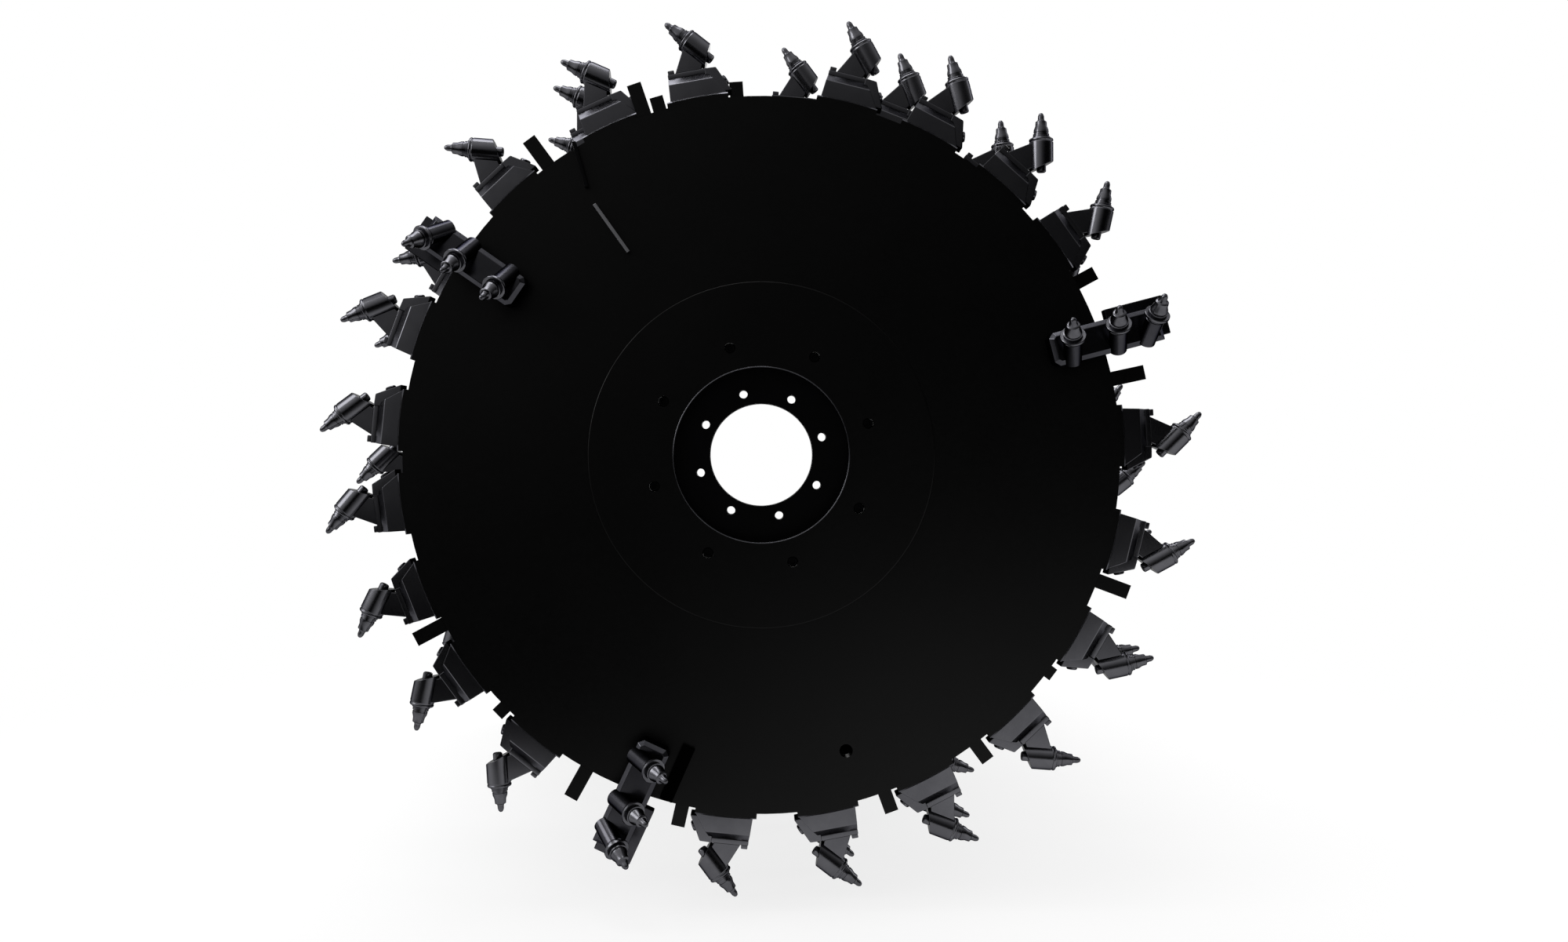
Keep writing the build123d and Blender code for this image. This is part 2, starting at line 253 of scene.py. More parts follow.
# Black oxide on screws and the strip at the rim: darker than the picks and a little oily
BLACK_OXIDE = Finish(
    "black_oxide_steel", "#060607", "#0a0a0b", 0.8, 0.2, 0.35, 0.5, 12.0, 0.8, 0.02,
)
# Painted weld bead: enamel over rippled metal
WELD_PAINT = Finish(
    "painted_weld_bead", "#030304", "#050506", 0.0, 0.2, 0.26, 0.36, 14.0, 4.0, 0.9,
)


# Modelling helpers


def deselect() -> None:
    """Leave nothing selected."""
    bpy.ops.object.select_all(action="DESELECT")


def activate(piece: Piece) -> None:
    """Make one piece the only selected and active object.

    Args:
        piece: The piece to work on.
    """
    deselect()
    piece.select_set(True)
    bpy.context.view_layer.objects.active = piece


def settle(name: str) -> Piece:
    """Name the newest primitive and move its place into its mesh.

    Args:
        name: The piece's name.

    Returns:
        The piece, with its object at the origin.
    """
    piece = bpy.context.view_layer.objects.active
    piece.name = name
    piece.data.name = name
    bpy.ops.object.transform_apply(location=True, rotation=True, scale=True)
    return piece


def block(name: str, low: Sequence[float], high: Sequence[float]) -> Piece:
    """Add a block between two corners.

    Args:
        name: The piece's name.
        low: Lowest corner.
        high: Highest corner.

    Returns:
        The new block.
    """
    deselect()
    middle = [(a + b) / 2 for a, b in zip(low, high)]
    size = [b - a for a, b in zip(low, high)]
    bpy.ops.mesh.primitive_cube_add(size=1, location=middle, scale=size)
    return settle(name)


@contextmanager
def editing(piece: Piece) -> Iterator[None]:
    """Hold a piece in edit mode, with all of it selected at first.

    Args:
        piece: The piece to edit.
    """
    activate(piece)
    bpy.ops.object.mode_set(mode="EDIT")
    bpy.ops.mesh.select_all(action="SELECT")
    yield
    bpy.ops.object.mode_set(mode="OBJECT")


def select_edges(piece: Piece, test: Callable[[Vector, Vector], bool]) -> None:
    """Select the edges that a test picks, in edit mode.

    Args:
        piece: The piece that is edited.
        test: Takes an edge's middle and its run from end to end, and says whether it is selected.
    """
    bpy.ops.mesh.select_mode(type="EDGE")
    bpy.ops.mesh.select_all(action="DESELECT")
    mesh = bmesh.from_edit_mesh(piece.data)
    for edge in mesh.edges:
        start, end = edge.verts[0].co, edge.verts[1].co
        edge.select_set(test((start + end) / 2, end - start))
    bmesh.update_edit_mesh(piece.data)


def turned(name: str, outline: Sequence[tuple[float, float]], sides: int = 40) -> Piece:
    """Turn a solid about Z by extruding and scaling one disc along its outline.

    Args:
        name: The piece's name.
        outline: Pairs of radius and height, from the first disc to the last.
        sides: Number of sides of the round.

    Returns:
        The closed solid.
    """
    deselect()
    radius, height = outline[0]
    bpy.ops.mesh.primitive_circle_add(vertices=sides, radius=radius, fill_type="NGON", location=(0, 0, height))
    piece = settle(name)
    with editing(piece):
        for next_radius, next_height in outline[1:]:
            rise = (0, 0, next_height - height)
            bpy.ops.mesh.extrude_region_move(TRANSFORM_OT_translate={"value": rise})
            ratio = next_radius / radius
            bpy.ops.transform.resize(value=(ratio, ratio, 1), center_override=(0, 0, next_height))
            radius, height = next_radius, next_height
        bpy.ops.mesh.select_all(action="SELECT")
        bpy.ops.mesh.normals_make_consistent(inside=False)
    return piece


def bevel_where(piece: Piece, test: Callable[[Vector, Vector], bool], width: float) -> None:
    """Bevel the edges that a test picks.

    Args:
        piece: The piece to shape.
        test: Takes an edge's middle and its direction, and says whether it is bevelled.
        width: Width of the bevel.
    """
    with editing(piece):
        select_edges(piece, lambda middle, run: test(middle, run.normalized()))
        bpy.ops.mesh.bevel(offset=width, segments=1, affect="EDGES", clamp_overlap=True)


def smooth(piece: Piece, angle: float = 35.0) -> Piece:
    """Shade a piece smooth, apart from edges that turn by more than an angle.

    Args:
        piece: The piece to shade.
        angle: The angle, in degrees.

    Returns:
        The same piece.
    """
    activate(piece)
    bpy.ops.object.shade_smooth_by_angle(angle=radians(angle))
    return piece


def soften(piece: Piece, width: float, angle: float = 30.0) -> Piece:
    """Round every sharp edge of a piece with an applied bevel, and shade it smooth.

    Args:
        piece: The piece to soften.
        width: Width of the rounding.
        angle: Sharpest turn, in degrees, that stays as it is.

    Returns:
        The same piece.
    """
    activate(piece)
    edges = piece.modifiers.new("edges", "BEVEL")
    edges.width = width
    edges.segments = 2
    edges.limit_method = "ANGLE"
    edges.angle_limit = radians(angle)
    bpy.ops.object.modifier_apply(modifier=edges.name)
    return smooth(piece, angle + 8)


def even_out(piece: Piece) -> Piece:
    """Weigh a piece's shading by its larger faces, so that a flat face looks flat beside its rounded edges.

    Args:
        piece: A piece that is shaded smooth.

    Returns:
        The same piece.
    """
    activate(piece)
    weights = piece.modifiers.new("weights", "WEIGHTED_NORMAL")
    weights.keep_sharp = True
    bpy.ops.object.modifier_apply(modifier=weights.name)
    return piece


def join(name: str, pieces: Iterable[Piece]) -> Piece:
    """Join pieces into one object.

    Args:
        name: Name of the joined piece.
        pieces: The pieces to join.

    Returns:
        The joined piece.
    """
    pieces = list(pieces)
    activate(pieces[0])
    for piece in pieces:
        piece.select_set(True)
    bpy.ops.object.join()
    pieces[0].name = name
    pieces[0].data.name = name
    return pieces[0]


def copies(name: str, model: Piece, places: Iterable[Matrix]) -> Piece:
    """Copy a model to several places and join the copies.

    Args:
        name: Name of the joined piece.
        model: The piece modelled once, which stays.
        places: Where each copy goes.

    Returns:
        The joined copies.
    """
    made = []
    for place in places:
        copy = model.copy()
        copy.data = model.data.copy()
        copy.data.transform(place)
        bpy.context.collection.objects.link(copy)
        made.append(copy)
    return join(name, made)


def discard(*models: Piece) -> None:
    """Remove the models that were only there to be copied."""
    for model in models:
        bpy.data.objects.remove(model)


def paint(piece: Piece, *finishes: Finish) -> None:
    """Give a piece its finishes.

    Args:
        piece: The piece to dress.
        finishes: The finishes, in the order of the piece's material slots.
    """
    piece.data.materials.clear()
    for finish in finishes:
        piece.data.materials.append(finish.material())


def paint_within(piece: Piece, radius: float, finish: Finish) -> None:
    """Give the faces that lie nearer to the drum's axis than a radius a finish of their own.

    Args:
        piece: A piece that has its first finish.
        radius: Distance from the axis.
        finish: The finish inside it.
    """
    piece.data.materials.append(finish.material())
    for face in piece.data.polygons:
        nearest = min(hypot(*piece.data.vertices[i].co.xz) for i in face.vertices)
        farthest = max(hypot(*piece.data.vertices[i].co.xz) for i in face.vertices)
        face.material_index = int((nearest + farthest) / 2 < radius)


def hand_over(piece: Piece, body: str = DRUM, replaced: Sequence[str] = ()) -> None:
    """Attach a finished piece to the body that it moves with, and hide the solids that it stands for.

    Args:
        piece: The finished piece.
        body: The body that it moves with.
        replaced: The solids that it stands for.
    """
    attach(piece, body)
    if replaced:
        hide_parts(*replaced)
    log.info("%s: %d faces on %s", piece.name, len(piece.data.polygons), body)


def frame_of(origin: Vector, along: Vector, forward: Vector, outward: Vector) -> Matrix:
    """Build the matrix of a local frame from its origin and three directions."""
    turn = Matrix((along, forward, outward)).transposed()
    return Matrix.Translation(origin) @ turn.to_4x4()


def facing(origin: Vector, axis: Vector) -> Matrix:
    """Build the matrix that stands a turned piece on a point, its Z along an axis."""
    return Matrix.Translation(origin) @ axis.to_track_quat("Z", "Y").to_matrix().to_4x4()


# Sub-assemblies

SLEEVE_BORE = 10.5 * MM
# Columns: step in from the sleeve's radius, depth below its mouth
SLEEVE_MOUTH = [
    (0.0, 7.0 * MM), (0.9 * MM, 6.2 * MM), (0.9 * MM, 4.8 * MM),
    (0.0, 4.0 * MM), (0.0, 1.6 * MM), (1.6 * MM, 0.0),
]


def sleeve_mouth(radius: float, length: float) -> list[tuple[float, float]]:
    """List a sleeve's outline at its mouth: a groove, a rounded edge and the face round the bore.

    Args:
        radius: The sleeve's radius.
        length: Height of its mouth.

    Returns:
        Pairs of radius and height.
    """
    return [(radius - step, length - depth) for step, depth in SLEEVE_MOUTH] + [(SLEEVE_BORE, length)]


@dataclass
class Pick:
    """A round-shank pick: a washer, a collar, a grooved tapered body and a carbide tip.

    The pick stands on its sleeve's mouth with its tip along Z.
    """

    washer_radius: float = 15.0 * MM
    washer_height: float = 3.6 * MM
    washer_chamfer: float = 0.7 * MM
    collar_radius: float = 13.6 * MM
    groove_depth: float = 1.6 * MM
    body_radius: float = 12.8 * MM
    shoulder_radius: float = 9.4 * MM
    neck_radius: float = 6.4 * MM
    tip_radius: float = 5.4 * MM
    length: float = 44.0 * MM
    carbide_from: float = 32.4 * MM

    def outline(self) -> list[tuple[float, float]]:
        """List the pick's outline from the mouth to the tip.

        Returns:
            Pairs of radius and height.
        """
        groove = self.collar_radius - self.groove_depth
        return [
            (self.washer_radius - self.washer_chamfer, 0.0),
            (self.washer_radius, self.washer_chamfer),
            (self.washer_radius, self.washer_height - self.washer_chamfer),
            (self.washer_radius - self.washer_chamfer, self.washer_height),
            (self.collar_radius, self.washer_height),
            (self.collar_radius, self.washer_height + 4.0 * MM),
            (groove, self.washer_height + 4.6 * MM),
            (groove, self.washer_height + 6.4 * MM),
            (self.body_radius, self.washer_height + 7.0 * MM),
            (self.body_radius - 0.4 * MM, 15.0 * MM),
            (self.shoulder_radius + 0.6 * MM, 21.0 * MM),
            (self.shoulder_radius, 28.6 * MM),
            (self.shoulder_radius - 0.8 * MM, 29.4 * MM),
            (self.neck_radius, 30.2 * MM),
            (self.neck_radius - 0.8 * MM, self.carbide_from),
            (self.tip_radius, 34.4 * MM),
            (self.tip_radius - 0.2 * MM, 38.4 * MM),
            (self.tip_radius - 1.4 * MM, 41.4 * MM),
            (self.tip_radius - 2.8 * MM, 43.2 * MM),
            (0.6 * MM, self.length),
        ]

    def model(self) -> Piece:
        """Turn the pick and give its tip the second material slot.

        Returns:
            The pick, standing on the origin.
        """
        piece = turned("pick_model", self.outline(), sides=32)
        piece.data.materials.append(PICK_STEEL.material())
        piece.data.materials.append(CARBIDE.material())
        for face in piece.data.polygons:
            face.material_index = int(face.center.z > self.carbide_from)
        return smooth(piece, 34.0)


@dataclass
class Tool:
    """One cutting tool on the shell: base block, holder and pick, x forward and z outward."""

    shell_radius: float = 590.0 * MM
    seat_gap: float = 0.2 * MM
    sink: float = 1.0 * MM
    pad_length: float = 104.0 * MM
    pad_width: float = 68.0 * MM
    pad_height: float = 24.0 * MM
    pad_bevel: float = 2.4 * MM
    pad_cuts: int = 7
    block_width: float = 58.0 * MM
    block_height: float = 64.0 * MM
    block_bevel: float = 13.0 * MM
    nose_inset: float = 6.0 * MM
    nose_rake: float = 3.0 * MM
    tail_slant: float = 28.0 * MM
    edge_round: float = 1.2 * MM
    lug_reach: float = 8.0 * MM
    lug_seat: float = 4.0 * MM
    lug_top: float = 20.0 * MM
    lug_drop: float = 2.0 * MM
    lug_width: float = 38.0 * MM
    foot_margin: float = 2.0 * MM
    foot_thickness: float = 9.0 * MM
    foot_round: float = 1.6 * MM
    foot_lip: float = 6.0 * MM
    lip_length: float = 11.0 * MM
    lip_inset: float = 1.0 * MM
    lean_angle: float = 42.0
    sleeve_radius: float = 20.5 * MM
    sleeve_length: float = 58.0 * MM
    sleeve_lift: float = 1.0 * MM
    sleeve_setback: float = 21.0 * MM
    sleeve_cut: float = 25.0
    web_thickness: float = 20.0 * MM
    web_toe: float = 30.0 * MM
    web_inset: float = 6.0 * MM
    slab_round: float = 1.5 * MM
    shank_radius: float = 8.0 * MM
    shank_end: float = 9.0 * MM
    shank_chamfer: float = 1.5 * MM
    bolt_radius: float = 9.0 * MM
    bolt_head: float = 4.0 * MM
    bead_width: float = 6.0 * MM
    bead_shift: float = 2.1 * MM
    bead_rise: float = 1.0 * MM
    bead_corner: float = 8.0 * MM
    pick: Pick = field(default_factory=Pick)

    @property
    def lean(self) -> Vector:
        """Direction of the pick."""
        return Vector((sin(radians(self.lean_angle)), 0, cos(radians(self.lean_angle))))

    @property
    def foot_top(self) -> float:
        """Height of the holder's foot above the shell."""
        return self.block_height + self.foot_thickness

    @property
    def heel(self) -> Vector:
        """Lowest point of the sleeve's rear."""
        return Vector((-self.sleeve_setback, 0, self.foot_top + self.sleeve_lift))

    @property
    def belly(self) -> Vector:
        """From the sleeve's axis to its underside."""
        return Vector((self.lean.z, 0, -self.lean.x)) * self.sleeve_radius

    @property
    def mouth(self) -> Vector:
        """Centre of the sleeve's mouth."""
        return self.heel - self.belly + self.lean * self.sleeve_length

    @property
    def tip(self) -> Vector:
        """The pick's tip."""
        return self.mouth + self.lean * self.pick.length

    def drop(self, x: float) -> float:
        """Height of the shell's surface at a distance forward of the tool's middle."""
        return sqrt(self.shell_radius**2 - x**2) - self.shell_radius

    def place(self, tip: Vector) -> Matrix:
        """Find where a tool stands from the tip of its pick.

        Args:
            tip: The tip, in the drum's frame.

        Returns:
            The tool's frame on the shell.
        """
        angle = atan2(tip.z, tip.x) - atan2(self.tip.x, self.shell_radius + self.tip.z)
        outward = Vector((cos(angle), 0, sin(angle)))
        forward = Vector((-sin(angle), 0, cos(angle)))
        origin = outward * self.shell_radius + Vector((0, tip.y, 0))
        return frame_of(origin, forward, Vector((0, -1, 0)), outward)

    def base_model(self) -> Piece:
        """Shape the pad to the shell and the bevelled block on it.

        Returns:
            The base at the origin.
        """
        half = self.pad_length / 2
        pad = block("pad", (-half, -self.pad_width / 2, 0), (half, self.pad_width / 2, self.pad_height))
        with editing(pad):
            select_edges(pad, lambda middle, run: abs(run.x) > half)
            bpy.ops.mesh.subdivide(number_cuts=self.pad_cuts)
        for vertex in pad.data.vertices:
            vertex.co.z += self.drop(vertex.co.x) + (self.seat_gap if vertex.co.z < self.pad_height / 2 else 0)
        bevel_where(
            pad,
            lambda middle, way: middle.z > self.pad_height * 0.8 and abs(abs(middle.y) - self.pad_width / 2) < MM,
            self.pad_bevel,
        )
        pad.data.materials.append(TOOL_PAINT.material())
        pad.data.materials.append(PLATE_PAINT.material())
        # The pad's faces take the plate's black primer and only its top bevel the tool steel: the split paints a lit
        # arc along the pad's top edge, a painted highlight
        for face in pad.data.polygons:
            face.material_index = int(abs(face.normal.y) > 0.9 or abs(face.normal.y) < 0.3)
        smooth(pad, 30.0)
        low = (-half, -self.block_width / 2, self.pad_height + self.drop(half) - self.sink)
        high = (half - self.nose_inset, self.block_width / 2, self.block_height)
        upper = block("upper", low, high)
        for vertex in upper.data.vertices:
            if vertex.co.z > self.pad_height:
                vertex.co.x += self.tail_slant if vertex.co.x < 0 else -self.nose_rake
        bevel_where(
            upper,
            lambda middle, way: middle.z > self.block_height - 0.1 * MM and abs(way.x) > 0.9,
            self.block_bevel,
        )
        upper.data.materials.append(TOOL_PAINT.material())
        soften(upper, self.edge_round)
        return even_out(join("base_model", [pad, upper]))

    def bead_model(self) -> Piece:
        """Lay the fillet weld round the pad, bent to the shell.

        Returns:
            The weld bead at the origin.
        """
        half = self.pad_length / 2 + self.bead_shift
        side = self.pad_width / 2 + self.bead_shift
        deselect()
        bpy.ops.mesh.primitive_plane_add(size=1)
        ring = settle("bead_model")
        ring.data.transform(Matrix.Diagonal((2 * half, 2 * side, 1, 1)))
        with editing(ring):
            bpy.ops.mesh.bevel(offset=self.bead_corner, segments=3, affect="VERTICES")
            bpy.ops.mesh.delete(type="ONLY_FACE")
            bpy.ops.mesh.select_all(action="SELECT")
            bpy.ops.mesh.subdivide(number_cuts=3)
        for vertex in ring.data.vertices:
            vertex.co.z = self.drop(vertex.co.x) + self.bead_rise
        activate(ring)
        bpy.ops.object.convert(target="CURVE")
        bead = bpy.context.view_layer.objects.active
        bead.data.bevel_depth = self.bead_width / 2
        bead.data.bevel_resolution = 1
        bpy.ops.object.convert(target="MESH")
        bead = bpy.context.view_layer.objects.active
        bpy.ops.object.shade_smooth()
        return bead

    def holder_model(self) -> Piece:
        """Shape the foot and its lip, the web, the leaning sleeve, the shank's end, and the tail lug with its bolt.

        Returns:
            The holder at the origin.
        """
        rear = self.tail_slant - self.pad_length / 2 + self.foot_margin
        front = self.pad_length / 2 - self.nose_inset - self.nose_rake
        side = self.block_width / 2 - self.block_bevel - self.foot_margin
        foot = block("foot", (rear, -side, self.block_height), (front, side, self.foot_top))
        soften(foot, self.foot_round)
        lip_front = front - self.lip_inset
        low = (lip_front - self.lip_length, -side, self.foot_top - self.sink)
        lip = block("lip", low, (lip_front, side, self.foot_top + self.foot_lip))
        soften(lip, self.edge_round)
        pieces = [foot, lip, self.web_model(), self.sleeve_model(), self.shank_model()]
        return even_out(join("holder_model", pieces + [self.lug_model(), self.bolt_model()]))

    def slab(self, name: str, corners: Sequence[tuple[float, float]], thickness: float) -> Piece:
        """Extrude a four-sided slab across the tool.

        Args:
            name: The piece's name.
            corners: Pairs of x and z, anticlockwise as seen from the drum's bearing end.
            thickness: Size along the drum's axis.

        Returns:
            The slab, with its edges softened.
        """
        deselect()
        bpy.ops.mesh.primitive_plane_add(size=1, rotation=(pi / 2, 0, 0))
        piece = settle(name)
        order = sorted(piece.data.vertices, key=lambda v: atan2(v.co.z, v.co.x))
        for vertex, (x, z) in zip(order, corners):
            vertex.co = (x, -thickness / 2, z)
        with editing(piece):
            bpy.ops.mesh.extrude_region_move(TRANSFORM_OT_translate={"value": (0, thickness, 0)})
            bpy.ops.mesh.select_all(action="SELECT")
            bpy.ops.mesh.normals_make_consistent(inside=False)
        return soften(piece, self.slab_round)

    def web_model(self) -> Piece:
        """Extrude the web between the foot and the sleeve.

        Returns:
            The web in the tool's frame.
        """
        front = self.mouth + self.belly * 0.5 - self.lean * self.web_inset
        rear = self.heel - self.belly + self.lean * (self.sleeve_radius - self.web_inset)
        corners = [
            (self.web_inset - self.sleeve_setback, self.foot_top),
            (self.web_toe, self.foot_top),
            (front.x, front.z),
            (rear.x, rear.z),
        ]
        return self.slab("web", corners, self.web_thickness)

    def lug_corners(self) -> list[tuple[float, float]]:
        """List the tail lug's corners: its foot, two points under the holder, and its top.

        Returns:
            Pairs of x and z in the tool's frame.
        """
        rear = -self.pad_length / 2
        inside = rear + self.tail_slant + self.lug_seat
        return [
            (rear - self.lug_reach, self.pad_height + self.lug_seat),
            (inside, self.pad_height + self.lug_seat),
            (inside, self.foot_top - self.sink),
            (inside - self.lug_top, self.foot_top - self.lug_drop),
        ]

    def lug_model(self) -> Piece:
        """Extrude the lug that the clamp bolt goes into, along the base's slanted tail."""
        return self.slab("tail_lug", self.lug_corners(), self.lug_width)

    def sleeve_model(self) -> Piece:
        """Turn the sleeve with its rounded mouth and cut its rear at an angle.

        Returns:
            The sleeve in the tool's frame.
        """
        outline = [(self.sleeve_radius, 0.0), *sleeve_mouth(self.sleeve_radius, self.sleeve_length)]
        sleeve = turned("sleeve", outline)
        sleeve.data.transform(facing(self.heel - self.belly, self.lean))
        cut = radians(self.lean_angle + self.sleeve_cut)
        with editing(sleeve):
            bpy.ops.mesh.bisect(
                plane_co=self.heel, plane_no=(sin(cut), 0, cos(cut)), use_fill=True, clear_inner=True
            )
        return soften(sleeve, self.edge_round, angle=40.0)

    def shank_model(self) -> Piece:
        """Turn the end of the pick's shank, which shows behind the sleeve's cut rear.

        Returns:
            The shank's end in the tool's frame.
        """
        slope = self.sleeve_radius * tan(radians(self.sleeve_cut))
        outline = [
            (self.shank_radius - self.shank_chamfer, slope - self.shank_end),
            (self.shank_radius, slope - self.shank_end + self.shank_chamfer),
            (self.shank_radius, slope + self.shank_end),
        ]
        shank = turned("shank_end", outline, sides=24)
        shank.data.transform(facing(self.heel - self.belly, self.lean))
        return smooth(shank)

    def bolt_model(self) -> Piece:
        """Turn the clamp bolt's washer and head on the tail lug's slanted face.

        Returns:
            The bolt in the tool's frame.
        """
        outline = [
            (self.bolt_radius + 3 * MM, -2.0 * MM),
            (self.bolt_radius + 3 * MM, 0.8 * MM),
            (self.bolt_radius + 2 * MM, 1.4 * MM),
            (self.bolt_radius, 1.4 * MM),
            (self.bolt_radius, self.bolt_head),
            (self.bolt_radius - 1.4 * MM, 1.4 * MM + self.bolt_head),
            (self.bolt_radius * 0.55, 1.4 * MM + self.bolt_head),
            (self.bolt_radius * 0.5, self.bolt_head - 4 * MM),
        ]
        bolt = turned("clamp_bolt", outline, sides=24)
        corners = self.lug_corners()
        low, high = Vector((corners[0][0], 0, corners[0][1])), Vector((corners[3][0], 0, corners[3][1]))
        along = (high - low).normalized()
        bolt.data.transform(facing((low + high) / 2, Vector((-along.z, 0, along.x))))
        return smooth(bolt)


@dataclass
class ToolRow:
    """All tools of one group, placed where the group's picks have their tips."""

    group: str
    tool: Tool

    def places(self) -> list[Matrix]:
        """Read the tools' places from the tips of the group's solids.

        Returns:
            One frame for each tool.
        """
        points = [v.co for v in frame["nodes"][f"{self.group}_picks"].data.vertices]
        reach = max(hypot(p.x, p.z) for p in points)
        tips = {tuple(round(c, 4) for c in p) for p in points if hypot(p.x, p.z) > reach - 0.5 * MM}
        return [self.tool.place(Vector(tip)) for tip in sorted(tips)]

    def build(self, models: dict[str, Piece]) -> None:
        """Copy the modelled tool to every place of the group.

        Args:
            models: The base, bead, holder and pick, each modelled once.
        """
        places = self.places()
        mouth = facing(self.tool.mouth, self.tool.lean)
        bases = copies(f"{self.group}_base_blocks", models["base"], places)
        hand_over(bases, replaced=[f"{self.group}_bases"])
        beads = copies(f"{self.group}_weld_beads", models["bead"], places)
        paint(beads, WELD_PAINT)
        hand_over(beads)
        holders = copies(f"{self.group}_sleeve_holders", models["holder"], places)
        paint(holders, TOOL_PAINT)
        hand_over(holders, replaced=[f"{self.group}_holders"])
        picks = copies(f"{self.group}_carbide_picks", models["pick"], [p @ mouth for p in places])
        hand_over(picks, replaced=[f"{self.group}_picks"])


@dataclass
class SideBar:
    """A bar on an end plate with three sleeves, a shoe behind it, and the picks that turn in the sleeves."""

    end: End
    number: int
    length: float = 184.0 * MM
    width: float = 56.0 * MM
    thickness: float = 40.0 * MM
    bevel: float = 7.0 * MM
    corner: float = 8.0 * MM
    edge_round: float = 1.0 * MM
    middle_pick: float = 14.0 * MM
    sleeve_radius: float = 15.0 * MM
    sleeve_length: float = 40.0 * MM
    sleeve_root: float = -14.0 * MM
    bore_depth: float = 4.0 * MM
    collar_gap: float = 0.3 * MM
    shoe_thickness: float = 22.0 * MM
    shoe_from_rim: float = 17.0 * MM
    shoe_overhang: float = 22.0 * MM
    shoe_lead: float = 17.0 * MM
    shoe_inset: float = 8.0 * MM
    shoe_round: float = 1.6 * MM

    def pick_node(self, pick: int) -> str:
        """Name the node of one pick on this bar."""
        return f"{self.end.name.lower()}_side_pick_{self.number}_{pick}"

    def mouths(self) -> list[tuple[Vector, Vector]]:
        """Read each sleeve's mouth and direction from the picks' joints.

        Returns:
            Pairs of mouth and axis, from the inner pick to the outer one.
        """
        joints = {joint["child"]: joint for joint in frame["joints"]}
        found = [joints[self.pick_node(pick)] for pick in (1, 2, 3)]
        return [(Vector(joint["pos_m"]), Vector(joint["axis"]).normalized()) for joint in found]

    def stand(self) -> Matrix:
        """Find the bar's frame on the end plate: x outward, y forward, z off the plate.

        Returns:
            The frame, its origin under the bar's middle.
        """
        roots = [mouth - axis * self.sleeve_length for mouth, axis in self.mouths()]
        outward = (roots[1] - roots[0]).normalized()
        forward = Vector((-outward.z, 0, outward.x))
        off = Vector((0, self.end.value, 0))
        middle = roots[1] - outward * self.middle_pick - forward * self.sleeve_root - off * self.thickness
        return frame_of(middle, outward, forward, off)

    def shoe(self, rim_gap: float) -> Piece:
        """Shape the plate behind the bar's overhanging end.

        Args:
            rim_gap: Distance of the bar's middle beyond the end plate's rim.

        Returns:
            The shoe in the bar's frame.
        """
        half, side = self.length / 2, self.width / 2
        low = (self.shoe_from_rim - rim_gap, self.shoe_inset - side, -self.shoe_thickness)
        high = (half + self.shoe_overhang, side + self.shoe_lead, 0)
        return soften(block("shoe", low, high), self.shoe_round)

    def build(self, pick_model: Piece) -> None:
        """Model the bar with its sleeves and set its picks.

        Args:
            pick_model: The pick modelled once.
        """
        half, side = self.length / 2, self.width / 2
        bar = block("bar", (-half, -side, 0), (half, side, self.thickness))
        bevel_where(bar, lambda middle, way: abs(way.z) > 0.9 and middle.x < 0, self.corner)
        bevel_where(bar, lambda middle, way: middle.z > self.thickness - 0.1 * MM, self.bevel)
        soften(bar, self.edge_round)
        place = self.stand()
        rim_gap = hypot(place.translation.x, place.translation.z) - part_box("bearing_end_plate")[1].x
        bar = join("bar", [bar, self.shoe(rim_gap)])
        bar.data.transform(place)
        # The drive end's frame is a mirror image
        if place.determinant() < 0:
            bar.data.flip_normals()
        outline = [
            (self.sleeve_radius, -self.sleeve_radius),
            *sleeve_mouth(self.sleeve_radius, self.sleeve_length),
            (SLEEVE_BORE, self.sleeve_length - self.bore_depth),
        ]
        model = smooth(turned("bar_sleeve", outline))
        mouths = self.mouths()
        roots = [facing(mouth - axis * self.sleeve_length, axis) for mouth, axis in mouths]
        sleeves = copies("bar_sleeves", model, roots)
        discard(model)
        name = f"{self.end.name.lower()}_side_bar_{self.number}"
        whole = even_out(join(f"{name}_welded", [bar, sleeves]))
        # The bars' darker steel is painted shade
        paint(whole, BAR_SHADE_PAINT)
        hand_over(whole, replaced=[name])
        for pick, (mouth, axis) in enumerate(mouths, start=1):
            node = self.pick_node(pick)
            seat = facing(mouth + axis * self.collar_gap, axis)
            piece = copies(f"{node}_round_shank", pick_model, [seat])
            hand_over(piece, body=node, replaced=[node])


